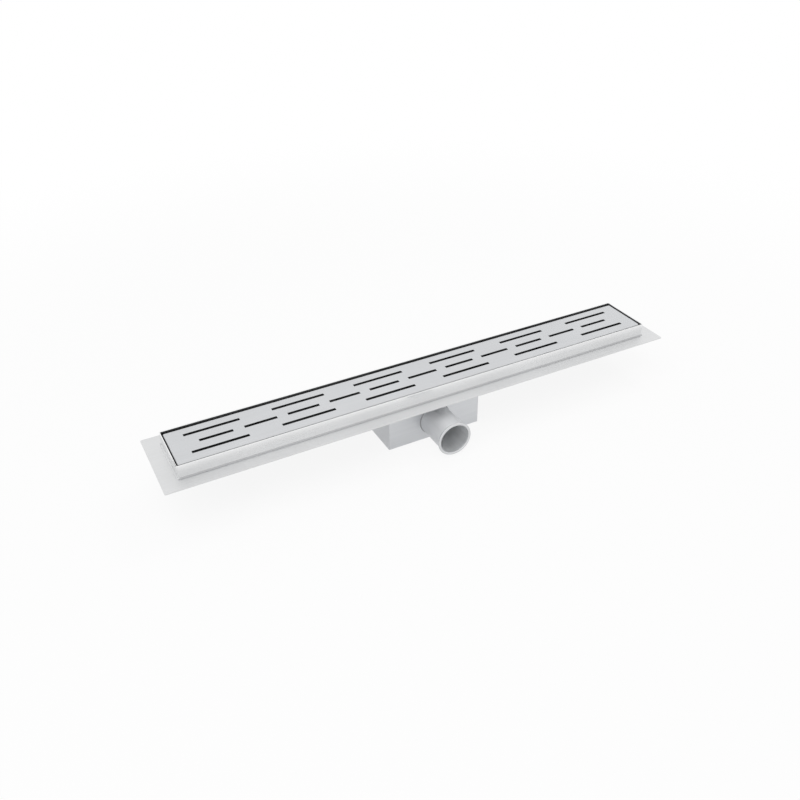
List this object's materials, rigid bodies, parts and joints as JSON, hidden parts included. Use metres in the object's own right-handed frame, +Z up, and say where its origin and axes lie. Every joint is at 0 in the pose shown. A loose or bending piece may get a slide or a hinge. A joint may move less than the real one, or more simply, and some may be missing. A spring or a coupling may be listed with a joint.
{
  "type": "linear shower drain",
  "caption": "Long narrow shower channel with a slotted flush grate, a raised rim inside a flat tile flange, a box sump with a round side outlet and a lift-out cup trap.",
  "frame": {"origin": "middle of the sump's flat underside, on the channel's centre line", "axes": "+X along the channel, -Y out of the outlet pipe, +Z up through the grate"},
  "size_m": [0.637, 0.1275, 0.0715],
  "materials": {
    "channel_steel": "satin stainless sheet",
    "flange_steel": "satin stainless sheet",
    "grate_steel": "finely brushed along its length",
    "sump_steel": "mill finish sheet",
    "pipe_steel": "drawn tube with a bright bead",
    "inner_steel": "mill finish",
    "rubber": "matt black",
    "trap_plastic": "off-white moulding"
  },
  "bodies": {
    "root": {"channel": "channel_steel", "tile_flange": "flange_steel", "sump": "sump_steel", "outlet_pipe": "pipe_steel", "grate": "grate_steel", "tie_1": "inner_steel", "tie_2": "inner_steel", "tie_3": "inner_steel", "tie_4": "inner_steel", "foot_1": "rubber", "foot_2": "rubber", "foot_3": "rubber", "foot_4": "rubber", "foot_5": "rubber", "foot_6": "rubber", "foot_7": "rubber", "foot_8": "rubber", "trap_body": "trap_plastic", "trap_seal": "rubber", "trap_cup": "trap_plastic", "hair_sieve": "inner_steel", "sieve_knob": "inner_steel"}
  },
  "joints": []
}
